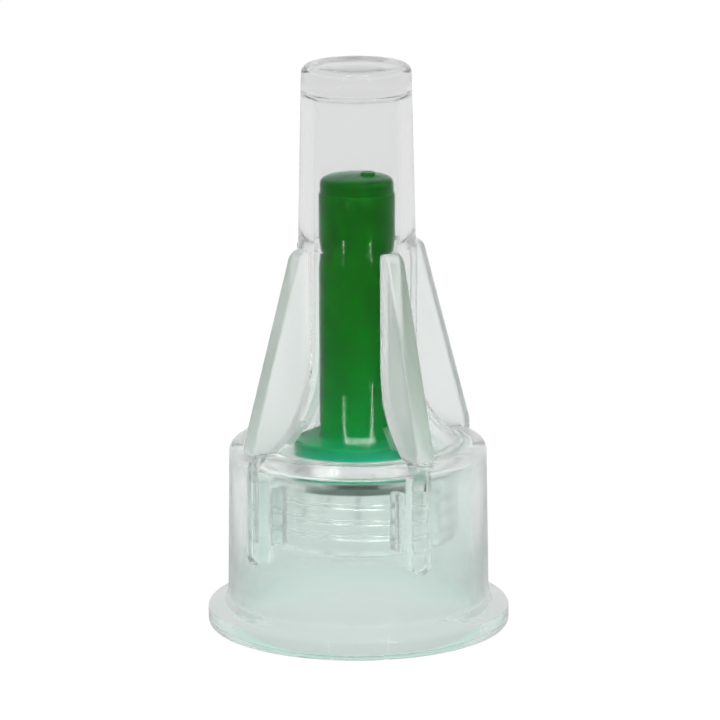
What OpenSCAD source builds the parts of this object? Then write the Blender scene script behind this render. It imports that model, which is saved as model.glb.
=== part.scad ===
// Pen needle in its closed outer cover, standing on the cover's flange.
// The cover and the shield pull off upwards; the hub screws onto the pen from below.
// Millimetres, +Z up, origin at the centre of the flange's underside.

/* [Pen socket] */
// Major diameter of the screw thread on the pen
pen_thread_d = 9.2; // [8.4:0.1:10]
// Gap on each side between the pen's thread and the socket wall
thread_clear = 0.1; // [0.05:0.05:0.3]
// Depth of the socket above the hub's rim
socket_depth = 3.4; // [2.8:0.1:5]
// Lead-in chamfer at the socket's mouth
socket_chamfer = 0.2; // [0.1:0.05:0.3]

/* [Hub] */
// Height of the hub's rim above the cover's base
hub_inset = 5.2; // [4.4:0.1:7]
// Thickness of the hub's side wall
hub_wall = 0.75; // [0.6:0.05:1.2]
// Thickness of the plate that closes the socket
plate_t = 0.7; // [0.5:0.05:1.2]
// Chamfer round the hub's shoulder
hub_chamfer = 0.2; // [0.1:0.05:0.3]
// Height of the ridges that stand on the hub's side
ridge_h = 0.7; // [0.5:0.05:1]
// Width of one ridge
ridge_w = 0.5; // [0.4:0.05:0.8]
// Bare height below and above each ridge
ridge_margin = 0.4; // [0.3:0.05:0.7]

/* [Nose] */
// Diameter of the boss that grips the shield's foot
boss_d = 6; // [5.6:0.1:6.6]
// Height of the boss above the plate
boss_h = 0.9; // [0.6:0.1:1.4]
// Height of the nose above the plate
nose_h = 4.3; // [3.4:0.1:5.5]
// Diameter of the nose where it leaves the boss
nose_base_d = 2.8; // [2.5:0.1:3.1]
// Diameter of the nose at its tip
nose_tip_d = 2.4; // [2:0.1:2.6]
// Diameter of the glue well in the nose's tip
well_d = 1.4; // [1:0.1:1.6]
// Depth of the glue well
well_depth = 1.1; // [0.8:0.1:1.6]
// Diameter of the collar round the tube inside the socket
collar_d = 1.8; // [1.4:0.1:2.4]
// Height of that collar
collar_h = 0.5; // [0.3:0.1:0.9]

/* [Cannula] */
// Outside diameter of the steel tube
tube_d = 0.25; // [0.2:0.01:0.4]
// Bore of the steel tube
tube_bore_d = 0.13; // [0.08:0.01:0.16]
// Length that stands out of the nose
needle_len = 8; // [4:0.5:10]
// Height of the rear point above the hub's rim
rear_inset = 0.3; // [0.2:0.1:0.8]
// Angle of both ground points to the tube's axis
bevel_angle = 18; // [14:1:30]
// Height of the glue's dome above the nose
bead_dome = 0.25; // [0.1:0.05:0.4]
// Gap between the steel tube and what holds it
bond_gap = 0.01; // [0.005:0.005:0.02]

/* [Inner shield] */
// Gap on each side between the nose's base and the shield's bore
nose_clear = 0.185; // [0.1:0.005:0.3]
// Thickness of the shield's wall
shield_wall = 0.55; // [0.4:0.05:0.6]
// Gap on each side between the boss and the shield's foot
shield_fit = 0.04; // [0.02:0.01:0.1]
// Gap between the plate or the boss and the shield's foot
shield_seat = 0.05; // [0.03:0.01:0.15]
// Thickness of the foot's top over the boss
foot_top_t = 0.4; // [0.35:0.05:1]
// Chamfer round the foot's top
foot_chamfer = 0.2; // [0.1:0.05:0.3]
// Room above the needle's point
point_room = 2.2; // [1:0.1:4]
// Thickness of the shield's closed end
shield_end = 2; // [0.8:0.1:3]
// Height of the slightly narrower band at the closed end
neck_h = 1; // [0.6:0.1:1.8]
// How much smaller that band is in radius
neck_step = 0.07; // [0.04:0.01:0.12]
// Rounding of the shield's closed end
shield_round = 0.35; // [0.2:0.05:0.6]
// Rise of the slight dome on the closed end
shield_crown = 0.12; // [0.05:0.01:0.2]

/* [Cover tube] */
// Gap on each side between the shield and the tube's tip
tube_clear = 0.2; // [0.15:0.05:0.5]
// Thickness of the tube's wall
cover_wall = 0.74; // [0.6:0.02:1]
// Growth of the tube's outer radius from the tip down to the step
tube_draft = 0.22; // [0.1:0.02:0.4]
// Height of the small step in radius where the fins begin
tube_step = 0.06; // [0.03:0.01:0.1]
// Free room above the shield
tip_room = 4.6; // [3:0.1:6]
// Thickness of the cover's closed end
cover_end = 1.6; // [1:0.1:2]
// Rounding of the closed end's edge
tip_round = 0.5; // [0.3:0.05:0.6]
// Rounding inside the closed end
cavity_round = 0.4; // [0.2:0.05:0.6]

/* [Cover flare and shoulder] */
// Height of the flare above the shoulder
flare_h = 4.6; // [3.8:0.1:5]
// Growth of the radius down the flare
flare_w = 2.32; // [1.8:0.02:2.4]
// Gap between the hub's plate and the ceiling over it
ceiling_gap = 0.6; // [0.4:0.05:1]
// Thickness of the shoulder
shoulder_t = 0.74; // [0.6:0.02:1]
// Rounding of the shoulder's outer edge
shoulder_round = 0.66; // [0.4:0.02:0.8]
// Rounding inside the shoulder
ceiling_round = 0.3; // [0.15:0.05:0.4]

/* [Cover skirt and flange] */
// Gap on each side between the hub's ridges and the cover
hub_clear = 0.35; // [0.2:0.05:0.6]
// Thickness of the skirt's wall
skirt_wall = 0.75; // [0.6:0.05:1]
// Growth of the bore's radius down its tapered mouth
mouth_relief = 0.25; // [0.1:0.01:0.35]
// Height of the tapered mouth
mouth_h = 2.5; // [1.5:0.1:3.2]
// Growth of the skirt's outer radius from shoulder to flange
skirt_draft = 0.12; // [0.06:0.02:0.2]
// How far the flange stands out from the skirt
flange_w = 1.13; // [0.8:0.01:1.6]
// Height of the flange's upright edge
flange_edge = 1.26; // [0.9:0.02:1.6]
// Rise of the flange's top from its edge to the skirt
flange_rise = 0.46; // [0.2:0.02:0.7]
// Rounding of the flange's upper edge
flange_round = 0.3; // [0.15:0.05:0.4]
// Rounding of the flange's lower edge
base_round = 0.35; // [0.15:0.05:0.4]

/* [Fins and inner ribs] */
// Number of outer fins, and of the inner ribs below them
fin_count = 4; // [3:1:6]
// Thickness of a fin
fin_t = 1.1; // [0.8:0.05:1.4]
// Height of the fins above the shoulder
fin_h = 11.2; // [9:0.1:12]
// How far a fin's top stands out from the tube
fin_top_w = 0.85; // [0.6:0.05:1.3]
// Rounding of a fin's top corner
fin_round = 0.75; // [0.3:0.05:0.8]
// Height of a fin's upright foot on the shoulder's edge
fin_foot = 0.4; // [0.2:0.05:0.8]
// How far a fin's foot stays inside the skirt's edge
fin_set_in = 0.06; // [0.04:0.01:0.15]
// Width of an inner rib
rib_w = 1.1; // [0.8:0.05:1.4]
// Gap between the hub's side and an inner rib
rib_clear = 0.2; // [0.1:0.05:0.4]
// Gap between an inner rib and the hub's ridge beside it
rib_side_clear = 0.2; // [0.1:0.05:0.4]
// How far the inner ribs reach below the hub's rim
rib_below = 0.97; // [0.6:0.05:1.4]

/* [Hidden] */
$fn = 128;
arc_steps = 6;
flare_steps = 14;
bite = 0.3;        // how deep a joined rib or fin runs into its wall
cut_over = 1;      // how far a cutting shape passes its face
dome_share = 0.7;  // height of the glue's dome half-way out, as a share of its top

// Heights, from the base up
plate_z = hub_inset + socket_depth;
plate_top = plate_z + plate_t;
nose_z = plate_top + nose_h;
point_z = nose_z + needle_len;
rear_z = hub_inset + rear_inset;
shield_z = plate_top + shield_seat;
skirt_end_z = plate_top + boss_h;
foot_bore_z = skirt_end_z + shield_seat;
foot_top_z = foot_bore_z + foot_top_t;
shield_cavity_z = point_z + point_room;
shield_top = shield_cavity_z + shield_end;
ceiling_z = plate_top + ceiling_gap;
shoulder_z = ceiling_z + shoulder_t;
flare_top = shoulder_z + flare_h;
fin_top = shoulder_z + fin_h;
cavity_z = shield_top + tip_room;
cover_h = cavity_z + cover_end;
rib_tip_z = hub_inset - rib_below;
flange_top = flange_edge + flange_rise;

// Radii, from the axis out
socket_r = pen_thread_d / 2 + thread_clear;
hub_r = socket_r + hub_wall;
ridge_r = hub_r + ridge_h;
cover_bore_r = ridge_r + hub_clear;
mouth_r = cover_bore_r + mouth_relief;
skirt_top_r = cover_bore_r + skirt_wall;
skirt_base_r = skirt_top_r + skirt_draft;
flange_r = skirt_base_r + flange_w;
boss_r = boss_d / 2;
held_r = tube_d / 2 + bond_gap;
shield_bore_r = nose_base_d / 2 + nose_clear;
shield_r = shield_bore_r + shield_wall;
foot_bore_r = boss_r + shield_fit;
foot_r = foot_bore_r + shield_wall;
tip_bore_r = shield_r + tube_clear;
tip_r = tip_bore_r + cover_wall;
step_r = tip_r + tube_draft;
root_r = step_r + tube_step;
root_bore_r = root_r - cover_wall;
fin_foot_r = skirt_top_r - fin_set_in;
fin_top_r = root_r + fin_top_w;

// The flare is one arc that leaves the tube upright and ends on the shoulder
flare_angle = 2 * atan(flare_w / flare_h);
flare_arc_r = flare_h / sin(flare_angle);

// Points on an arc about [cx, cz], from angle a0 to a1
function arc(cx, cz, r, a0, a1, steps = arc_steps) =
    [for (i = [0 : steps]) let (a = a0 + (a1 - a0) * i / steps) [cx + r * cos(a), cz + r * sin(a)]];

// The flare's outline from the shoulder up, moved in by a wall's thickness
function flare(inset) =
    let (top_r = root_r, r = flare_arc_r + inset)
    arc(top_r + flare_arc_r, flare_top, r, 180 + flare_angle, 180, flare_steps);

// Section of the cover without its hollow
function cover_outline() = concat(
    [[0, 0]],
    arc(flange_r - base_round, base_round, base_round, -90, 0),
    arc(flange_r - flange_round, flange_edge - flange_round, flange_round, 0, 60),
    [[skirt_base_r, flange_top]],
    arc(skirt_top_r - shoulder_round, shoulder_z - shoulder_round, shoulder_round, 0, 90),
    flare(0),
    [[root_r, fin_top], [step_r, fin_top + tube_step]],
    arc(tip_r - tip_round, cover_h - tip_round, tip_round, 0, 90),
    [[0, cover_h]]
);

// Section of the hollow: open mouth, chamber round the hub, throat and tube
function cover_hollow() =
    let (
        throat = [for (p = flare(cover_wall)) if (p[1] > ceiling_z && p[0] < cover_bore_r) p],
        entry = [[throat[0][0], ceiling_z]]
    )
    concat(
        [[0, -cut_over], [mouth_r, -cut_over], [mouth_r, 0], [cover_bore_r, mouth_h]],
        arc(cover_bore_r - ceiling_round, ceiling_z - ceiling_round, ceiling_round, 0, 90),
        entry,
        throat,
        arc(tip_bore_r - cavity_round, cavity_z - cavity_round, cavity_round, 0, 90),
        [[0, cavity_z]]
    );

// Side view of one fin, from the tube's axis outwards
function fin_outline() =
    let (a = atan((fin_foot_r - fin_top_r) / (fin_top - fin_round - shoulder_z - fin_foot)))
    concat(
        [[0, shoulder_z - shoulder_round], [fin_foot_r, shoulder_z - shoulder_round]],
        [[fin_foot_r, shoulder_z + fin_foot]],
        arc(fin_top_r - fin_round * cos(a), fin_top - fin_round, fin_round, a, 90),
        [[0, fin_top]]
    );

// Copies round the axis, one for each fin
module around() {
    for (i = [0 : fin_count - 1]) rotate([0, 0, i * 360 / fin_count]) children();
}

module fin() {
    rotate([90, 0, 0])
    linear_extrude(height = fin_t, center = true)
    polygon(fin_outline());
}

// Rib on the inside of the skirt, with a round lower tip
module inner_rib() {
    depth = cover_bore_r + bite - (hub_r + rib_clear);
    translate([hub_r + rib_clear, 0, 0])
    rotate([90, 0, 90])
    linear_extrude(height = depth)
    union() {
        translate([-rib_w / 2, rib_tip_z + rib_w / 2])
        square([rib_w, ceiling_z + bite - rib_tip_z - rib_w / 2]);
        translate([0, rib_tip_z + rib_w / 2]) circle(d = rib_w);
    }
}

module outer_cover() {
    color([0.84, 0.93, 0.88, 0.4])
    union() {
        difference() {
            union() {
                rotate_extrude() polygon(cover_outline());
                around() fin();
            }
            rotate_extrude() polygon(cover_hollow());
        }
        around() inner_rib();
    }
}

// Section of the shield without its hollow
function shield_outline() = concat(
    [[0, shield_z], [foot_r, shield_z], [foot_r, foot_top_z - foot_chamfer]],
    [[foot_r - foot_chamfer, foot_top_z], [shield_r, foot_top_z]],
    [[shield_r, shield_top - neck_h], [shield_r - neck_step, shield_top - neck_h + neck_step]],
    arc(shield_r - neck_step - shield_round, shield_top - shield_crown - shield_round, shield_round, 0, 75),
    [[0, shield_top]]
);

// Section of the shield's hollow: grip and bore
function shield_hollow() = [
    [0, shield_z - cut_over], [foot_bore_r, shield_z - cut_over], [foot_bore_r, foot_bore_z],
    [shield_bore_r, foot_bore_z], [shield_bore_r, shield_cavity_z], [0, shield_cavity_z + shield_bore_r / 2]
];

module inner_shield() {
    color([0, 0.5, 0.12])
    difference() {
        rotate_extrude() polygon(shield_outline());
        rotate_extrude() polygon(shield_hollow());
    }
}

// Section of the hub without its socket, glue well and tube hole
function hub_outline() = [
    [0, hub_inset], [hub_r - hub_chamfer / 2, hub_inset], [hub_r, hub_inset + hub_chamfer / 2],
    [hub_r, plate_top - hub_chamfer], [hub_r - hub_chamfer, plate_top],
    [boss_r, plate_top], [boss_r, skirt_end_z - hub_chamfer], [boss_r - hub_chamfer, skirt_end_z],
    [nose_base_d / 2, skirt_end_z], [nose_tip_d / 2, nose_z - hub_chamfer],
    [nose_tip_d / 2 - hub_chamfer, nose_z], [0, nose_z]
];

// Section of the socket, with the collar round the tube left standing in it
function socket_outline() = [
    [0, hub_inset - cut_over], [socket_r + socket_chamfer, hub_inset - cut_over],
    [socket_r + socket_chamfer, hub_inset], [socket_r, hub_inset + socket_chamfer],
    [socket_r, plate_z], [collar_d / 2, plate_z], [collar_d / 2, plate_z - collar_h],
    [0, plate_z - collar_h]
];

// Section of the glue well, a funnel that ends in the hole for the tube
function well_outline() = [
    [0, nose_z + cut_over], [well_d / 2, nose_z + cut_over], [well_d / 2, nose_z],
    [held_r, nose_z - well_depth], [0, nose_z - well_depth]
];

// The ridges stand in pairs, one on each side of every inner rib of the cover
module ridge_pair() {
    near = rib_w / 2 + rib_side_clear;
    for (side = [0, 1]) mirror([0, side, 0])
    translate([hub_r - bite, near, hub_inset + ridge_margin])
    cube([ridge_h + bite, ridge_w, plate_top - hub_inset - 2 * ridge_margin]);
}

module needle_hub() {
    color([0.86, 0.92, 0.89, 0.6])
    difference() {
        union() {
            rotate_extrude() polygon(hub_outline());
            intersection() {
                around() ridge_pair();
                translate([0, 0, hub_inset]) cylinder(r = ridge_r, h = plate_top - hub_inset);
            }
        }
        rotate_extrude() polygon(socket_outline());
        rotate_extrude() polygon(well_outline());
        translate([0, 0, hub_inset]) cylinder(r = held_r, h = nose_z - hub_inset);
    }
}

// Slanted block that grinds a point off one end of the tube
module point_cut() {
    rotate([0, bevel_angle - 90, 0])
    translate([-cut_over * 2, -cut_over, 0])
    cube([cut_over * 4, cut_over * 2, cut_over]);
}

module cannula() {
    bevel_len = tube_d / tan(bevel_angle);
    color([0.75, 0.77, 0.8])
    difference() {
        translate([0, 0, rear_z - tube_d]) cylinder(d = tube_d, h = point_z - rear_z + 2 * tube_d);
        translate([0, 0, rear_z - cut_over]) cylinder(d = tube_bore_d, h = point_z - rear_z + 2 * cut_over);
        translate([tube_d / 2, 0, point_z - bevel_len]) mirror([1, 0, 0]) point_cut();
        translate([-tube_d / 2, 0, rear_z + bevel_len]) mirror([0, 0, 1]) point_cut();
    }
}

// Section of the glue: it fills the funnel and stands above it as a low dome
function bead_outline() = [
    [0, nose_z - well_depth + 2 * bond_gap], [held_r, nose_z - well_depth + 2 * bond_gap],
    [well_d / 2 - bond_gap, nose_z], [well_d / 4, nose_z + bead_dome * dome_share],
    [held_r, nose_z + bead_dome], [0, nose_z + bead_dome]
];

module glue_bead() {
    color([0.9, 0.95, 0.95, 0.6])
    difference() {
        rotate_extrude() polygon(bead_outline());
        translate([0, 0, nose_z - well_depth]) cylinder(d = tube_d + bond_gap, h = well_depth + 2 * bead_dome);
    }
}

outer_cover();
inner_shield();
needle_hub();
cannula();
glue_bead();
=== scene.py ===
import math
import bmesh
import bpy
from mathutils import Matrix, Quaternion, Vector


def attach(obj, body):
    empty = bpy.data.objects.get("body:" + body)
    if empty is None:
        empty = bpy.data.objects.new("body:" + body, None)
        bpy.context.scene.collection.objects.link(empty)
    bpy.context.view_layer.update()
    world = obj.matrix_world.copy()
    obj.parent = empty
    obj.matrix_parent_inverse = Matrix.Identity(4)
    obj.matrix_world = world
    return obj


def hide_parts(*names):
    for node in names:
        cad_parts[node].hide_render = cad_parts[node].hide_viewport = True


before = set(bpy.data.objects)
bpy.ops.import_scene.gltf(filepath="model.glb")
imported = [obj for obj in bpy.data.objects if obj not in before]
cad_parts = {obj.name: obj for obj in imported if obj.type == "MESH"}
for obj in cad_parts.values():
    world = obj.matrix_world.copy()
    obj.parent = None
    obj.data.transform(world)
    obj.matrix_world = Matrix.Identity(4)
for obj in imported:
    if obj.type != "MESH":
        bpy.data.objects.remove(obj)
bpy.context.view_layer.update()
mm = 0.001


# Small helpers

def put(tree, kind, links=None, **settings):
    # One node with its settings; links maps an input's name or number to a socket or a plain value
    node = tree.nodes.new(kind)
    for key, value in settings.items():
        setattr(node, key, value)
    for key, value in (links or {}).items():
        many = value if isinstance(value, list) else [value]
        for one in many:
            if isinstance(one, bpy.types.NodeSocket):
                tree.links.new(one, node.inputs[key])
            else:
                node.inputs[key].default_value = one
    return node


def newTree(name, sockets):
    # A geometry tree with named inputs; returns it with its input node
    tree = bpy.data.node_groups.new(name, "GeometryNodeTree")
    tree.is_modifier = True
    face = tree.interface
    face.new_socket("Geometry", in_out="INPUT", socket_type="NodeSocketGeometry")
    for label, kind in sockets:
        face.new_socket(label, in_out="INPUT", socket_type="NodeSocket" + kind)
    face.new_socket("Geometry", in_out="OUTPUT", socket_type="NodeSocketGeometry")
    return tree, tree.nodes.new("NodeGroupInput")


def closeTree(tree, geometry, material):
    # Every tree ends in real geometry with its material set
    real = put(tree, "GeometryNodeRealizeInstances", {"Geometry": geometry})
    dressed = put(tree, "GeometryNodeSetMaterial", {"Geometry": real.outputs[0], "Material": material})
    put(tree, "NodeGroupOutput", {0: dressed.outputs[0]})


def math2(tree, operation, a, b):
    return put(tree, "ShaderNodeMath", {0: a, 1: b}, operation=operation).outputs[0]


def blend(tree, factor, low, high):
    # low where the factor is 0, high where it is 1
    return put(tree, "ShaderNodeMix", {"Factor": factor, 2: low, 3: high}, data_type="FLOAT").outputs[0]


def smoothTree(tree, geometry, angle):
    # Smooth faces, with the edges sharper than the angle kept crisp
    soft = put(tree, "GeometryNodeSetShadeSmooth", {"Geometry": geometry, "Shade Smooth": True},
               domain="FACE")
    bend = put(tree, "GeometryNodeInputMeshEdgeAngle")
    crisp = put(tree, "FunctionNodeCompare", {0: bend.outputs[0], 1: angle}, operation="GREATER_THAN")
    return put(tree, "GeometryNodeSetShadeSmooth",
               {"Geometry": soft.outputs[0], "Selection": crisp.outputs[0], "Shade Smooth": False},
               domain="EDGE").outputs[0]


def meshObject(name, verts, edges=(), faces=()):
    mesh = bpy.data.meshes.new(name)
    mesh.from_pydata([tuple(c * mm for c in v) for v in verts], list(edges), list(faces))
    obj = bpy.data.objects.new(name, mesh)
    bpy.context.scene.collection.objects.link(obj)
    return obj


def runTree(obj, tree, values):
    # Puts the tree on the object, sets its named inputs and keeps only the mesh that it makes
    ids = {s.name: s.identifier for s in tree.interface.items_tree if s.in_out == "INPUT"}
    step = obj.modifiers.new(tree.name, "NODES")
    step.node_group = tree
    for label, value in values.items():
        step[ids[label]] = value
    deps = bpy.context.evaluated_depsgraph_get()
    mesh = bpy.data.meshes.new_from_object(obj.evaluated_get(deps))
    obj.modifiers.remove(step)
    old = obj.data
    obj.data = mesh
    bpy.data.meshes.remove(old)
    mesh.name = obj.name
    return obj


def drop(*objs):
    for obj in objs:
        bpy.data.objects.remove(obj, do_unlink=True)


def arc(centreR, centreZ, radius, fromDeg, toDeg, steps=8):
    # Points of a circle's arc in an outline of (radius, height) pairs
    turn = [math.radians(fromDeg + (toDeg - fromDeg) * i / steps) for i in range(steps + 1)]
    return [(centreR + radius * math.cos(a), centreZ + radius * math.sin(a)) for a in turn]


def fine(points, longest):
    # Extra points on the long straight stretches of an outline, so that its faces stay even
    out = [points[0]]
    for (r1, z1), (r2, z2) in zip(points, points[1:]):
        parts = max(1, math.ceil(math.dist((r1, z1), (r2, z2)) / longest))
        out += [(r1 + (r2 - r1) * i / parts, z1 + (z2 - z1) * i / parts) for i in range(1, parts + 1)]
    return out


# Turned bodies: an outline swept round the axis

latheLook = {"segments": 192, "longest": 0.9, "weld": 1e-7, "crispDeg": 40}
crispAngle = math.radians(latheLook["crispDeg"])


def makeLatheTree():
    tree, given = newTree("latheOutline", [
        ("Rows", "Int"), ("Segments", "Int"), ("Weld", "Float"), ("Crisp Angle", "Float"),
        ("Material", "Material")])
    around = math2(tree, "ADD", given.outputs["Segments"], 1)
    sheet = put(tree, "GeometryNodeMeshGrid", {"Vertices X": given.outputs["Rows"], "Vertices Y": around})
    index = put(tree, "GeometryNodeInputIndex").outputs[0]
    # Half an index more keeps rounding from dropping a row
    row = math2(tree, "FLOOR", math2(tree, "DIVIDE", math2(tree, "ADD", index, 0.5), around), 0)
    column = math2(tree, "FLOORED_MODULO", index, around)
    turn = math2(tree, "DIVIDE", math2(tree, "MULTIPLY", column, 2 * math.pi), given.outputs["Segments"])
    here = put(tree, "GeometryNodeInputPosition").outputs[0]
    onLine = put(tree, "GeometryNodeSampleIndex",
                 {"Geometry": given.outputs["Geometry"], "Value": here, "Index": row},
                 data_type="FLOAT_VECTOR", domain="POINT")
    swung = put(tree, "ShaderNodeVectorRotate", {"Vector": onLine.outputs[0], "Angle": turn},
                rotation_type="Z_AXIS")
    shaped = put(tree, "GeometryNodeSetPosition",
                 {"Geometry": sheet.outputs["Mesh"], "Position": swung.outputs[0]})
    welded = put(tree, "GeometryNodeMergeByDistance",
                 {"Geometry": shaped.outputs[0], "Distance": given.outputs["Weld"]})
    outward = put(tree, "GeometryNodeFlipFaces", {"Mesh": welded.outputs[0]}).outputs[0]
    closeTree(tree, smoothTree(tree, outward, given.outputs["Crisp Angle"]), given.outputs["Material"])
    return tree


latheTree = makeLatheTree()


def lathe(name, outline, material):
    points = fine(outline, latheLook["longest"])
    obj = meshObject(name, [(r, 0, z) for r, z in points], [(i, i + 1) for i in range(len(points) - 1)])
    return runTree(obj, latheTree, {
        "Rows": len(points), "Segments": latheLook["segments"], "Weld": latheLook["weld"],
        "Crisp Angle": crispAngle, "Material": material})


slabLook = {"sharpDeg": 50, "roundSteps": 3}


def slab(name, outline, thick, soften, place):
    # A flat plate cut to an outline, with its edges rounded; place turns (across, along, up) into x, y, z
    bm = bmesh.new()
    ring = [bm.verts.new(Vector(place(u, -thick / 2, w)) * mm) for u, w in outline]
    face = bm.faces.new(ring)
    move = (Vector(place(0, thick, 0)) - Vector(place(0, 0, 0))) * mm
    top = bmesh.ops.extrude_face_region(bm, geom=[face])
    bmesh.ops.translate(bm, vec=move, verts=[v for v in top["geom"] if isinstance(v, bmesh.types.BMVert)])
    bmesh.ops.recalc_face_normals(bm, faces=bm.faces)
    sharp = [e for e in bm.edges if e.calc_face_angle(0) > math.radians(slabLook["sharpDeg"])]
    bmesh.ops.bevel(bm, geom=sharp, offset=soften * mm, segments=slabLook["roundSteps"], profile=0.5,
                    affect="EDGES")
    mesh = bpy.data.meshes.new(name)
    bm.to_mesh(mesh)
    bm.free()
    obj = bpy.data.objects.new(name, mesh)
    bpy.context.scene.collection.objects.link(obj)
    return obj


def ringOf(tree, template, count):
    # Copies of a template round the axis
    points = put(tree, "GeometryNodePoints", {"Count": count})
    index = put(tree, "GeometryNodeInputIndex").outputs[0]
    angle = math2(tree, "DIVIDE", math2(tree, "MULTIPLY", index, 2 * math.pi), count)
    spin = put(tree, "ShaderNodeCombineXYZ", {"Z": angle})
    shape = put(tree, "GeometryNodeObjectInfo", {"Object": template}, transform_space="ORIGINAL")
    copies = put(tree, "GeometryNodeInstanceOnPoints", {
        "Points": points.outputs[0], "Instance": shape.outputs["Geometry"], "Rotation": spin.outputs[0]})
    return put(tree, "GeometryNodeRealizeInstances", {"Geometry": copies.outputs[0]}).outputs[0]


def join(tree, operation, first, second):
    # A union of two meshes, or the first less the second
    ends = {"Mesh 1": first, "Mesh 2": second} if operation == "DIFFERENCE" else {"Mesh 2": [first, second]}
    return put(tree, "GeometryNodeMeshBoolean", ends, operation=operation, solver="MANIFOLD").outputs[0]


# Materials

def newMaterial(name, sockets):
    # A Principled material with its constants on the shader itself; returns it with the tree's parts
    material = bpy.data.materials.new(name)
    material.use_nodes = True
    tree = material.node_tree
    shader = tree.nodes["Principled BSDF"]
    for label, value in sockets.items():
        shader.inputs[label].default_value = value
    where = put(tree, "ShaderNodeTexCoord").outputs["Object"]
    return material, tree, shader, where


def noise(tree, where, patch, detail=2.0):
    # patch is the size of a patch in millimetres
    return put(tree, "ShaderNodeTexNoise",
               {"Vector": where, "Scale": 1 / (patch * mm), "Detail": detail}).outputs["Fac"]


def spread(tree, value, low, high):
    # Noise keeps near the middle, so its central half is stretched from low to high
    return put(tree, "ShaderNodeMapRange", {"Value": value, "From Min": 0.25, "From Max": 0.75,
                                            "To Min": low, "To Max": high}).outputs[0]


def uneven(tree, shader, field, look):
    # The roughness follows a noise field between two values
    tree.links.new(spread(tree, field, *look["rough"]), shader.inputs["Roughness"])


def bump(tree, shader, waves):
    # waves is a list of (height field, strength, height in millimetres)
    normal = None
    for height, strength, deep in waves:
        links = {"Height": height, "Strength": strength, "Distance": deep * mm}
        if normal:
            links["Normal"] = normal
        normal = put(tree, "ShaderNodeBump", links).outputs[0]
    tree.links.new(normal, shader.inputs["Normal"])


# Strength and height in millimetres of the flow ripples and the fine grain on clear mouldings
skinLook = {"ripple": (0.25, 0.03), "grain": (0.12, 0.004)}


def mouldedSkin(tree, shader, where, look):
    bump(tree, shader, [(noise(tree, where, look["ripple"], 1.0), *skinLook["ripple"]),
                        (noise(tree, where, look["grain"]), *skinLook["grain"])])


# The cover by height in millimetres: its foot, skirt, flare and tube differ in polish, milk and tint
clearLook = {
    "ior": 1.49, "mirror": (0.16, 0.16, 0.16, 1), "patch": 0.015, "ripple": 2.6, "grain": 0.22,
    "rough": [(0, 0.11), (1.6, 0.12), (2.1, 0.24), (4.2, 0.24), (5.6, 0.12), (8.6, 0.1), (9.6, 0.18),
              (10.6, 0.14), (11.4, 0.05), (14, 0.06), (22, 0.08), (32, 0.08)],
    "tint": [(0, (0.83, 0.965, 0.925, 1)), (4.2, (0.905, 0.995, 0.965, 1)), (6, (0.94, 1, 0.98, 1)),
             (10.6, (0.95, 1, 0.98, 1)), (15, (0.94, 0.99, 0.968, 1)), (22, (0.95, 0.964, 0.957, 1)),
             (29.9, (0.95, 0.956, 0.953, 1)), (30.9, (0.83, 0.84, 0.835, 1)), (32, (0.83, 0.84, 0.835, 1))],
    "clear": [(0, 1.0), (1.6, 0.98), (2.1, 0.95), (5, 0.95), (8.6, 0.97), (10.4, 1.0), (32, 1.0)],
    "finHalf": 0.6, "finFromR": 3.5, "finFromZ": 10.7, "finRough": 0.42, "finClear": 0.93,
    "finTint": (0.95, 0.985, 0.968, 1),
}


def band(tree, where, stops):
    # A value or a colour that changes with height; stops are (height in millimetres, value)
    top = stops[-1][0]
    up = put(tree, "ShaderNodeSeparateXYZ", {0: where}).outputs["Z"]
    ramp = put(tree, "ShaderNodeValToRGB", {0: math2(tree, "DIVIDE", up, top * mm)})
    points = ramp.color_ramp.elements
    for height, value in stops[1:-1]:
        points.new(height / top)
    for point, (height, value) in zip(points, stops):
        point.position = height / top
        point.color = value if isinstance(value, tuple) else (value, value, value, 1)
    return ramp.outputs["Color"]


def inFins(tree, where, look):
    # 1 inside the thick fins, which stand on the X and Y planes outside the tube
    size = put(tree, "ShaderNodeVectorMath", {0: where}, operation="ABSOLUTE").outputs["Vector"]
    apart = put(tree, "ShaderNodeSeparateXYZ", {0: size}).outputs
    near = math2(tree, "MINIMUM", apart["X"], apart["Y"])
    far = math2(tree, "MAXIMUM", apart["X"], apart["Y"])
    thin = math2(tree, "LESS_THAN", near, look["finHalf"] * mm)
    outside = math2(tree, "GREATER_THAN", far, look["finFromR"] * mm)
    above = math2(tree, "GREATER_THAN", apart["Z"], look["finFromZ"] * mm)
    return math2(tree, "MULTIPLY", math2(tree, "MULTIPLY", thin, outside), above)


def coverPlastic(look):
    # Moulded clear polypropylene: polished tube, satin foot, and a little milk where the fins are thick
    material, tree, shader, where = newMaterial("coverPlastic", {
        "IOR": look["ior"], "Specular Tint": look["mirror"]})
    fins = inFins(tree, where, look)
    finish = blend(tree, fins, band(tree, where, look["rough"]), look["finRough"])
    cloud = spread(tree, noise(tree, where, look["ripple"]), -look["patch"], look["patch"])
    tree.links.new(math2(tree, "ADD", finish, cloud), shader.inputs["Roughness"])
    clear = blend(tree, fins, band(tree, where, look["clear"]), look["finClear"])
    tree.links.new(clear, shader.inputs["Transmission Weight"])
    tint = put(tree, "ShaderNodeMix", {0: fins, 6: band(tree, where, look["tint"]), 7: look["finTint"]},
               data_type="RGBA")
    tree.links.new(tint.outputs[2], shader.inputs["Base Color"])
    mouldedSkin(tree, shader, where, look)
    return material


hubLook = {"colour": (0.93, 0.965, 0.95, 1), "ior": 1.49, "mirror": (0.6, 0.6, 0.6, 1),
           "rough": (0.1, 0.17), "ripple": 1.8, "grain": 0.2}


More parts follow.
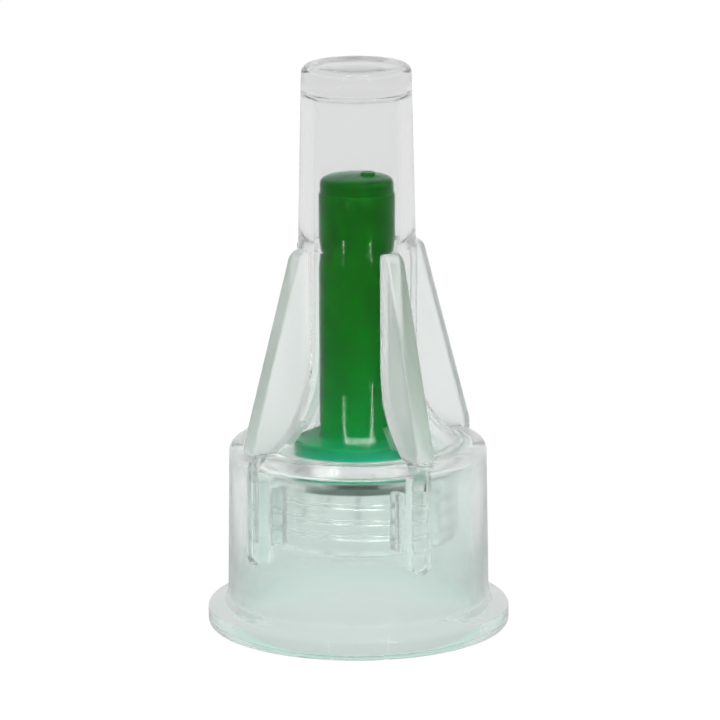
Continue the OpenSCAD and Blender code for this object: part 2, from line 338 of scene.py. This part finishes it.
def hubPlastic(look):
    # The hub's own plastic is clear and satin
    material, tree, shader, where = newMaterial("hubPlastic", {
        "Base Color": look["colour"], "IOR": look["ior"], "Transmission Weight": 1.0,
        "Specular Tint": look["mirror"]})
    uneven(tree, shader, noise(tree, where, look["ripple"]), look)
    mouldedSkin(tree, shader, where, look)
    return material


greenLook = {
    # Body colour by height; the light teal on the foot, below about 10.8 mm, is painted light for its shaded
    # underside
    "body": [(0, (0.0, 0.38, 0.22, 1)), (9.4, (0.0, 0.38, 0.22, 1)), (10, (0.0, 0.3, 0.15, 1)),
             (10.4, (0.0, 0.24, 0.09, 1)), (10.8, (0.0, 0.2, 0.04, 1)), (11.6, (0.0, 0.17, 0.02, 1)),
             (15.0, (0.0, 0.122, 0.005, 1)), (19, (0.0, 0.108, 0.0, 1)), (26, (0.0, 0.083, 0.0, 1))],
    "patch": 1.6, "cloud": (0.86, 1.16), "grain": 0.16, "rough": (0.07, 0.13), "skin": (0.2, 0.006),
    "ior": 1.49, "mirror": 0.06, "sheen": 0.2, "sheenRough": 0.4, "sheenTint": (0.0, 0.5, 0.3, 1),
}


def greenPlastic(look):
    # Saturated moulded green, deeper towards the top and a little uneven; the foot is a lighter, bluer teal
    # as painted light, standing in for light passing into its shaded underside
    material, tree, shader, where = newMaterial("greenPlastic", {
        "IOR": look["ior"], "Specular IOR Level": look["mirror"], "Sheen Weight": look["sheen"],
        "Sheen Roughness": look["sheenRough"], "Sheen Tint": look["sheenTint"]})
    cloud = spread(tree, noise(tree, where, look["patch"], 3.0), *look["cloud"])
    body = put(tree, "ShaderNodeVectorMath", {0: band(tree, where, look["body"]), "Scale": cloud},
               operation="SCALE")
    tree.links.new(body.outputs[0], shader.inputs["Base Color"])
    uneven(tree, shader, noise(tree, where, look["grain"]), look)
    bump(tree, shader, [(noise(tree, where, look["grain"], 3.0), *look["skin"])])
    return material


steelLook = {"colour": (0.62, 0.63, 0.65, 1), "streak": 0.02, "stretch": 40, "rough": (0.18, 0.34),
             "skin": (0.2, 0.001)}


def drawnSteel(look):
    # Drawn tube: fine streaks along the axis
    material, tree, shader, where = newMaterial("drawnSteel", {
        "Base Color": look["colour"], "Metallic": 1.0})
    along = put(tree, "ShaderNodeMapping", {"Vector": where, "Scale": (1, 1, 1 / look["stretch"])})
    streaks = noise(tree, along.outputs[0], look["streak"])
    uneven(tree, shader, streaks, look)
    bump(tree, shader, [(streaks, *look["skin"])])
    return material


glueLook = {"colour": (0.9, 0.95, 0.95, 1), "ior": 1.5, "clear": 0.9, "bubble": 0.25, "rough": (0.05, 0.15),
            "skin": (0.2, 0.01)}


def curedGlue(look):
    # Clear cured glue with a soft skin
    material, tree, shader, where = newMaterial("curedGlue", {
        "Base Color": look["colour"], "IOR": look["ior"], "Transmission Weight": look["clear"]})
    uneven(tree, shader, noise(tree, where, look["bubble"]), look)
    bump(tree, shader, [(noise(tree, where, look["bubble"], 1.0), *look["skin"])])
    return material


coverClear = coverPlastic(clearLook)
hubClear = hubPlastic(hubLook)
shieldGreen = greenPlastic(greenLook)
needleSteel = drawnSteel(steelLook)
glueClear = curedGlue(glueLook)
print("materials made")


# Outer cover

cover = {
    "height": 32.0, "tipR": 3.075, "tipRound": 0.5,
    "rootR": 3.355, "stepR": 3.295, "stepZ": 21.84, "stepEdge": 0.02, "stepDrop": 0.07,
    "cavityTop": 30.4, "boreTipR": 2.335, "cavityRound": 0.4, "wall": 0.74,
    "flareHigh": 4.6, "flareWide": 2.32, "flareSteps": 28, "shoulderZ": 10.64, "shoulderRound": 0.66,
    "ceilingZ": 9.9, "ceilingRound": 0.3, "boreR": 6.5,
    "mouthR": 6.75, "mouthHigh": 2.5, "mouthRound": 0.1, "mouthBelow": -1.0,
    "skirtTopR": 7.25, "skirtBaseR": 7.37, "skirtFoot": [(0.12, -0.05), (0.03, 0.03), (-0.005, 0.14)],
    "flangeR": 8.5, "flangeEdge": 1.26, "flangeRise": 0.46, "flangeRound": 0.3, "flangeArc": 62,
    "baseRound": 0.35,
    "fins": 4, "finThick": 1.1, "finFootR": 7.19, "finFoot": 0.4, "finTopOut": 0.85, "finRound": 0.75,
    "finSoft": 0.14, "finInnerR": 2.95,
    "ribWide": 1.1, "ribInnerR": 5.65, "ribTipZ": 4.23, "ribSoft": 0.12, "bite": 0.3,
}
flareTurn = 2 * math.degrees(math.atan(cover["flareWide"] / cover["flareHigh"]))
flareR = cover["flareHigh"] / math.sin(math.radians(flareTurn))
flareTop = cover["shoulderZ"] + cover["flareHigh"]


def flareArc(inset):
    # The flare between shoulder and tube; the inset moves it inwards by the wall
    c = cover
    return arc(c["rootR"] + flareR, flareTop, flareR + inset, 180 + flareTurn, 180, c["flareSteps"])


def coverOuter():
    c = cover
    soft, high = c["flangeRound"], c["flangeEdge"] + c["flangeRise"]
    low = arc(c["flangeR"] - c["baseRound"], c["baseRound"], c["baseRound"], -90, 0)
    edge = arc(c["flangeR"] - soft, c["flangeEdge"] - soft, soft, 0, c["flangeArc"])
    root = [(c["skirtBaseR"] + out, high + up) for out, up in c["skirtFoot"]]
    soft = c["shoulderRound"]
    shoulder = arc(c["skirtTopR"] - soft, c["shoulderZ"] - soft, soft, 0, 90, 12)
    step = [(c["rootR"], c["stepZ"] - c["stepEdge"]),
            (c["rootR"] - c["stepEdge"], c["stepZ"] + c["stepEdge"]),
            (c["stepR"], c["stepZ"] + c["stepDrop"])]
    tip = arc(c["tipR"] - c["tipRound"], c["height"] - c["tipRound"], c["tipRound"], 0, 90, 10)
    return [(0, 0)] + low + edge + root + shoulder + flareArc(0) + step + tip + [(0, c["height"])]


def coverHollow():
    c = cover
    outerR, soft = c["mouthR"] + c["mouthRound"], c["ceilingRound"]
    mouth = [(0, c["mouthBelow"]), (outerR, c["mouthBelow"]), (outerR, 0), (c["mouthR"], c["mouthRound"]),
             (c["boreR"], c["mouthHigh"])]
    ceiling = arc(c["boreR"] - soft, c["ceilingZ"] - soft, soft, 0, 90)
    throat = [(r, z) for r, z in flareArc(c["wall"]) if z > c["ceilingZ"]]
    soft = c["cavityRound"]
    end = arc(c["boreTipR"] - soft, c["cavityTop"] - soft, soft, 0, 90)
    return mouth + ceiling + [(throat[0][0], c["ceilingZ"])] + throat + end + [(0, c["cavityTop"])]


def finOutline():
    c = cover
    topR, cornerZ = c["rootR"] + c["finTopOut"], c["stepZ"] - c["finRound"]
    lean = math.atan((c["finFootR"] - topR) / (cornerZ - c["shoulderZ"] - c["finFoot"]))
    corner = arc(topR - c["finRound"] * math.cos(lean), cornerZ, c["finRound"], math.degrees(lean), 90, 10)
    base = c["shoulderZ"] - c["shoulderRound"]
    foot = [(c["finInnerR"], base), (c["finFootR"], base), (c["finFootR"], c["shoulderZ"] + c["finFoot"])]
    return foot + corner + [(c["finInnerR"], c["stepZ"])]


def ribOutline():
    c = cover
    half, top = c["ribWide"] / 2, c["ceilingZ"] + c["bite"]
    return arc(0, c["ribTipZ"] + half, half, 180, 360, 16) + [(half, top), (-half, top)]


def makeCoverTree():
    tree, given = newTree("coverAssembly", [
        ("Hollow", "Object"), ("Fin", "Object"), ("Inner Rib", "Object"), ("Fin Count", "Int"),
        ("Crisp Angle", "Float"), ("Material", "Material")])
    count = given.outputs["Fin Count"]
    hollow = put(tree, "GeometryNodeObjectInfo", {"Object": given.outputs["Hollow"]},
                 transform_space="ORIGINAL")
    body = join(tree, "UNION", given.outputs["Geometry"], ringOf(tree, given.outputs["Fin"], count))
    body = join(tree, "DIFFERENCE", body, hollow.outputs["Geometry"])
    body = join(tree, "UNION", body, ringOf(tree, given.outputs["Inner Rib"], count))
    closeTree(tree, smoothTree(tree, body, given.outputs["Crisp Angle"]), given.outputs["Material"])
    return tree


def makeCover():
    c = cover
    shell = lathe("coverShell", coverOuter(), coverClear)
    hollow = lathe("coverHollow", coverHollow(), coverClear)
    fin = slab("coverFin", finOutline(), c["finThick"], c["finSoft"], lambda u, v, w: (u, v, w))
    deep = c["boreR"] + c["bite"] - c["ribInnerR"]
    middle = c["ribInnerR"] + deep / 2
    rib = slab("coverRib", ribOutline(), deep, c["ribSoft"], lambda u, v, w: (middle + v, u, w))
    runTree(shell, makeCoverTree(), {
        "Hollow": hollow, "Fin": fin, "Inner Rib": rib, "Fin Count": c["fins"],
        "Crisp Angle": crispAngle, "Material": coverClear})
    drop(hollow, fin, rib)
    return shell


coverShell = makeCover()
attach(coverShell, "cover")
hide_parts("outer_cover")
print("cover:", len(coverShell.data.polygons), "faces")


# Inner shield

shield = {
    "baseZ": 9.35, "footR": 3.59, "footBoreZ": 10.25, "footTopZ": 10.65, "footChamfer": 0.2,
    "footSoft": 0.08, "rootRound": 0.18, "bodyR": 2.135, "wall": 0.55, "cavityTop": 23.8,
    "neckHigh": 1.0, "neckCurve": [(0, -0.03), (0.03, 0.02), (0.07, 0.06)],
    "topZ": 25.8, "topRound": 0.35, "topArc": 78, "crown": 0.12, "crownR": 0.8, "crownDrop": 0.02,
    "gateR": 0.42, "gateDeep": 0.5, "gateHigh": 0.14, "gateSide": 0.04, "gateSoft": 0.08, "gateDish": 0.03,
    "gateOut": 0.62, "gateDeg": -31.7,
}


def shieldOutline():
    s = shield
    bore, grip, soft = s["bodyR"] - s["wall"], s["footR"] - s["wall"], s["footSoft"]
    cavity = [(0, s["cavityTop"] + bore / 2), (bore, s["cavityTop"]), (bore, s["footBoreZ"]),
              (grip, s["footBoreZ"]), (grip, s["baseZ"] + soft), (grip + soft, s["baseZ"])]
    foot = [(s["footR"] - soft, s["baseZ"]), (s["footR"], s["baseZ"] + soft)]
    soft = s["footChamfer"]
    edge = arc(s["footR"] - soft, s["footTopZ"] - soft, soft, 0, 90)
    soft = s["rootRound"]
    root = arc(s["bodyR"] + soft, s["footTopZ"] + soft, soft, 270, 180, 6)
    neckZ = s["topZ"] - s["neckHigh"]
    neck = [(s["bodyR"] - inward, neckZ + up) for inward, up in s["neckCurve"]]
    soft, endR = s["topRound"], neck[-1][0]
    top = arc(endR - soft, s["topZ"] - s["crown"] - soft, soft, 0, s["topArc"])
    crown = [(s["crownR"], s["topZ"] - s["crownDrop"]), (0, s["topZ"])]
    return cavity + foot + edge + root + neck + top + crown


def gateOutline():
    # The small raised mark on the closed end, with a dish in its middle
    s = shield
    low, high = s["topZ"] - s["gateDeep"], s["topZ"] + s["gateHigh"]
    return [(0, low), (s["gateR"], low), (s["gateR"], s["topZ"] + s["gateSide"]),
            (s["gateR"] - s["gateSoft"], high), (0, high - s["gateDish"])]


def makeShield():
    s = shield
    shell = lathe("shieldShell", shieldOutline(), shieldGreen)
    gate = lathe("shieldGate", gateOutline(), shieldGreen)
    turn = math.radians(s["gateDeg"])
    for v in gate.data.vertices:
        v.co += Vector((math.cos(turn), math.sin(turn), 0)) * s["gateOut"] * mm
    tree, given = newTree("shieldGateMark", [
        ("Gate", "Object"), ("Crisp Angle", "Float"), ("Material", "Material")])
    mark = put(tree, "GeometryNodeObjectInfo", {"Object": given.outputs["Gate"]}, transform_space="ORIGINAL")
    body = join(tree, "UNION", given.outputs["Geometry"], mark.outputs["Geometry"])
    closeTree(tree, smoothTree(tree, body, given.outputs["Crisp Angle"]), given.outputs["Material"])
    runTree(shell, tree, {"Gate": gate, "Crisp Angle": crispAngle, "Material": shieldGreen})
    drop(gate)
    return shell


shieldShell = makeShield()
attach(shieldShell, "shield")
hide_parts("inner_shield")
print("shield:", len(shieldShell.data.polygons), "faces")


# Hub with its screw thread

hub = {
    "rimZ": 5.2, "plateZ": 8.6, "plateTop": 9.3, "socketR": 4.7, "outerR": 5.45, "chamfer": 0.2, "edge": 0.1,
    "bossR": 3.0, "bossTop": 10.2, "noseBaseR": 1.4, "noseTipR": 1.2, "noseZ": 13.6,
    "wellR": 0.7, "wellDeep": 1.1, "heldR": 0.135, "collarR": 0.9, "collarHigh": 0.5,
    "ridgeNear": 0.75, "ridgeWide": 0.5, "ridgeHigh": 0.68, "ridgeMargin": 0.4, "ridgeSoft": 0.08,
    "pitch": 0.89, "turns": 2.6, "threadLow": 5.75, "threadR": 0.16, "startDeg": 40, "threadSteps": 96,
    "threadSides": 12, "bite": 0.3, "copies": 4,
}


def hubOutline():
    h = hub
    soft, collarZ = h["chamfer"], h["plateZ"] - h["collarHigh"]
    inside = [(h["heldR"], collarZ), (h["collarR"], collarZ), (h["collarR"], h["plateZ"]),
              (h["socketR"], h["plateZ"]), (h["socketR"], h["rimZ"] + soft), (h["socketR"] + soft, h["rimZ"])]
    outside = [(h["outerR"] - h["edge"], h["rimZ"]), (h["outerR"], h["rimZ"] + h["edge"]),
               (h["outerR"], h["plateTop"] - soft), (h["outerR"] - soft, h["plateTop"])]
    boss = [(h["bossR"], h["plateTop"]), (h["bossR"], h["bossTop"] - soft), (h["bossR"] - soft, h["bossTop"])]
    nose = [(h["noseBaseR"], h["bossTop"]), (h["noseTipR"], h["noseZ"] - soft),
            (h["noseTipR"] - soft, h["noseZ"])]
    well = [(h["wellR"], h["noseZ"]), (h["heldR"], h["noseZ"] - h["wellDeep"]), (h["heldR"], collarZ)]
    return inside + outside + boss + nose + well


def makeHubTree():
    tree, given = newTree("hubDetail", [
        ("Ridge Pair", "Object"), ("Copies", "Int"), ("Thread Radius", "Float"), ("Pitch", "Float"),
        ("Turns", "Float"), ("Thread Base", "Float"), ("Thread Size", "Float"), ("Start Angle", "Float"),
        ("Crisp Angle", "Float"), ("Material", "Material")])
    rise = math2(tree, "MULTIPLY", given.outputs["Pitch"], given.outputs["Turns"])
    helix = put(tree, "GeometryNodeCurveSpiral", {
        "Resolution": hub["threadSteps"], "Rotations": given.outputs["Turns"],
        "Start Radius": given.outputs["Thread Radius"], "End Radius": given.outputs["Thread Radius"],
        "Height": rise})
    upright = put(tree, "GeometryNodeSetCurveNormal", {"Curve": helix.outputs[0]}, mode="Z_UP")
    section = put(tree, "GeometryNodeCurvePrimitiveCircle",
                  {"Resolution": hub["threadSides"], "Radius": given.outputs["Thread Size"]}, mode="RADIUS")
    turns = put(tree, "GeometryNodeCurveToMesh", {
        "Curve": upright.outputs[0], "Profile Curve": section.outputs[0], "Fill Caps": True})
    lift = put(tree, "ShaderNodeCombineXYZ", {"Z": given.outputs["Thread Base"]})
    start = put(tree, "ShaderNodeCombineXYZ", {"Z": given.outputs["Start Angle"]})
    placed = put(tree, "GeometryNodeTransform", {
        "Geometry": turns.outputs[0], "Translation": lift.outputs[0], "Rotation": start.outputs[0]})
    count = given.outputs["Copies"]
    body = join(tree, "UNION", given.outputs["Geometry"], ringOf(tree, given.outputs["Ridge Pair"], count))
    body = join(tree, "UNION", body, placed.outputs[0])
    closeTree(tree, smoothTree(tree, body, given.outputs["Crisp Angle"]), given.outputs["Material"])
    return tree


def makeRidgePair():
    # The cover's inner rib runs between the two ridges
    h = hub
    low, high = h["rimZ"] + h["ridgeMargin"], h["plateTop"] - h["ridgeMargin"]
    deep = h["ridgeHigh"] + h["bite"]
    middle = h["outerR"] + h["ridgeHigh"] - deep / 2
    halves = []
    for side in (-1, 1):
        near, far = side * h["ridgeNear"], side * (h["ridgeNear"] + h["ridgeWide"])
        box = [(near, low), (far, low), (far, high), (near, high)]
        halves.append(slab("ridge", box, deep, h["ridgeSoft"], lambda u, v, w: (middle + v, u, w)))
    bm = bmesh.new()
    for half in halves:
        bm.from_mesh(half.data)
    bm.to_mesh(halves[0].data)
    bm.free()
    drop(halves[1])
    return halves[0]


def makeHub():
    h = hub
    shell = lathe("hubShell", hubOutline(), hubClear)
    pair = makeRidgePair()
    runTree(shell, makeHubTree(), {
        "Ridge Pair": pair, "Copies": h["copies"], "Thread Radius": h["socketR"] * mm,
        "Pitch": h["pitch"] * mm, "Turns": h["turns"], "Thread Base": h["threadLow"] * mm,
        "Thread Size": h["threadR"] * mm, "Start Angle": math.radians(h["startDeg"]),
        "Crisp Angle": crispAngle, "Material": hubClear})
    drop(pair)
    return shell


hubShell = makeHub()
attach(hubShell, "needle_unit")
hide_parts("needle_hub")
print("hub:", len(hubShell.data.polygons), "faces")


# The steel tube and the glue keep their own solids

def dress(node, material):
    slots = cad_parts[node].data.materials
    slots.clear()
    slots.append(material)


dress("cannula", needleSteel)
dress("glue_bead", glueClear)
print("needle and glue dressed")


# Studio: floor, world, three softboxes and the camera

studio = {
    "azimuth": -31.7, "elevation": 12.8, "distance": 290.0, "lens": 258.46, "aimZ": 15.16, "aimRight": 0.14,
    "rollDeg": -0.25,
    "floorSize": 4000.0, "floorColour": (0.95, 0.95, 0.95, 1), "floorRough": 0.9, "floorGlow": 0.96,
    "floorShade": 0.77, "shadeBehind": 9.0, "shadeInner": 8.0, "shadeOuter": 23.0,
    "backdrop": 0.8, "worldDiffuse": 0.6,
    "glossFront": 0.5, "glossBack": 0.85, "glossOnFloor": (-0.02, 0.06), "glossInSky": (-0.5, 0.5),
    "lampAway": 520.0,
    "lamps": {"softboxRight": (27.0, 34.0, 24.0, 740.0, 2.2), "softboxLeft": (-26.0, 34.0, 13.0, 740.0, 2.6),
              "softboxTop": (4.0, 64.0, 300.0, 60.0, 1.6)},
}


def direction(azimuth, elevation):
    # From the object towards a point at that azimuth and height; azimuth 0 is the -Y side
    a, e = math.radians(azimuth), math.radians(elevation)
    return Vector((math.sin(a) * math.cos(e), -math.cos(a) * math.cos(e), math.sin(e)))


def raysOf(tree):
    # What the camera sees straight on or through clear plastic, what it sees through, what gloss mirrors
    path = put(tree, "ShaderNodeLightPath").outputs
    through = path["Is Transmission Ray"]
    return math2(tree, "MAXIMUM", path["Is Camera Ray"], through), through, path["Is Glossy Ray"]


def frontToBack(tree, where, ends):
    # The level that gloss mirrors: dim on the photographer's side, bright behind the object
    behind = put(tree, "ShaderNodeVectorMath", {0: where, 1: tuple(-direction(studio["azimuth"], 0))},
                 operation="DOT_PRODUCT").outputs["Value"]
    return put(tree, "ShaderNodeMapRange", {
        "Value": behind, "From Min": ends[0], "From Max": ends[1],
        "To Min": studio["glossFront"], "To Max": studio["glossBack"]}).outputs[0]


def makeFloor():
    # White for the camera; through clear plastic it is pale grey, with a shade behind the object
    s = studio
    half = s["floorSize"] / 2
    floor = meshObject("floor", [(-half, -half, 0), (half, -half, 0), (half, half, 0), (-half, half, 0)],
                       (), [(0, 1, 2, 3)])
    material, tree, shader, where = newMaterial("paleFloor", {
        "Base Color": s["floorColour"], "Roughness": s["floorRough"]})
    seen, through, mirrored = raysOf(tree)
    mirror = put(tree, "ShaderNodeEmission", {"Strength": frontToBack(tree, where, s["glossOnFloor"])})
    middle = direction(s["azimuth"], 0) * -s["shadeBehind"] * mm
    apart = put(tree, "ShaderNodeVectorMath", {0: where, 1: tuple(middle)}, operation="DISTANCE")
    shade = put(tree, "ShaderNodeMapRange", {
        "Value": apart.outputs["Value"], "From Min": s["shadeInner"] * mm, "From Max": s["shadeOuter"] * mm,
        "To Min": s["floorShade"], "To Max": 1.0}).outputs[0]
    level = blend(tree, through, 1.0, math2(tree, "MULTIPLY", shade, s["backdrop"]))
    glow = put(tree, "ShaderNodeEmission", {"Color": (1, 1, 1, 1), "Strength": level})
    lit = put(tree, "ShaderNodeMixShader", {0: mirrored, 1: shader.outputs[0], 2: mirror.outputs[0]})
    share = math2(tree, "MULTIPLY", seen, s["floorGlow"])
    both = put(tree, "ShaderNodeMixShader", {0: share, 1: lit.outputs[0], 2: glow.outputs[0]})
    tree.links.new(both.outputs[0], tree.nodes["Material Output"].inputs["Surface"])
    floor.data.materials.append(material)


def makeWorld():
    # White for the camera and pale grey through clear plastic; gloss sees a dim front, so that edges draw
    s = studio
    world = bpy.data.worlds.new("studioWorld")
    bpy.context.scene.world = world
    world.use_nodes = True
    tree = world.node_tree
    sky = tree.nodes["Background"]
    sky.inputs["Color"].default_value = (1, 1, 1, 1)
    seen, through, mirrored = raysOf(tree)
    where = put(tree, "ShaderNodeTexCoord").outputs["Generated"]
    rest = blend(tree, mirrored, s["worldDiffuse"], frontToBack(tree, where, s["glossInSky"]))
    white = blend(tree, through, 1.0, s["backdrop"])
    tree.links.new(blend(tree, seen, rest, white), sky.inputs["Strength"])


def makeLamp(name, azimuth, high, wide, tall, watt):
    # A softbox; its azimuth is counted from the camera's, and its size is in millimetres
    s = studio
    data = bpy.data.lights.new(name, "AREA")
    data.shape = "RECTANGLE"
    data.size = wide * mm
    data.size_y = tall * mm
    data.energy = watt
    lamp = bpy.data.objects.new(name, data)
    bpy.context.scene.collection.objects.link(lamp)
    away = direction(s["azimuth"] + azimuth, high)
    lamp.location = away * s["lampAway"] * mm + Vector((0, 0, s["aimZ"] * mm))
    lamp.rotation_euler = away.to_track_quat("Z", "Y").to_euler()


def makeCamera():
    s = studio
    data = bpy.data.cameras.new("camera")
    data.lens = s["lens"]
    data.sensor_width = 36
    data.clip_start = 0.02
    camera = bpy.data.objects.new("camera", data)
    bpy.context.scene.collection.objects.link(camera)
    away = direction(s["azimuth"], s["elevation"])
    right = direction(s["azimuth"] + 90, 0)
    aim = Vector((0, 0, s["aimZ"])) * mm + right * s["aimRight"] * mm
    camera.location = aim + away * s["distance"] * mm
    roll = Quaternion((0, 0, 1), math.radians(s["rollDeg"]))
    camera.rotation_mode = "QUATERNION"
    camera.rotation_quaternion = away.to_track_quat("Z", "Y") @ roll
    bpy.context.scene.camera = camera


makeFloor()
makeWorld()
for name, place in studio["lamps"].items():
    makeLamp(name, *place)
makeCamera()
bpy.context.scene.view_settings.view_transform = "Standard"
cycles = bpy.context.scene.cycles
cycles.max_bounces = 24
cycles.transmission_bounces = 20
cycles.transparent_max_bounces = 16
cycles.glossy_bounces = 16
print("studio ready")
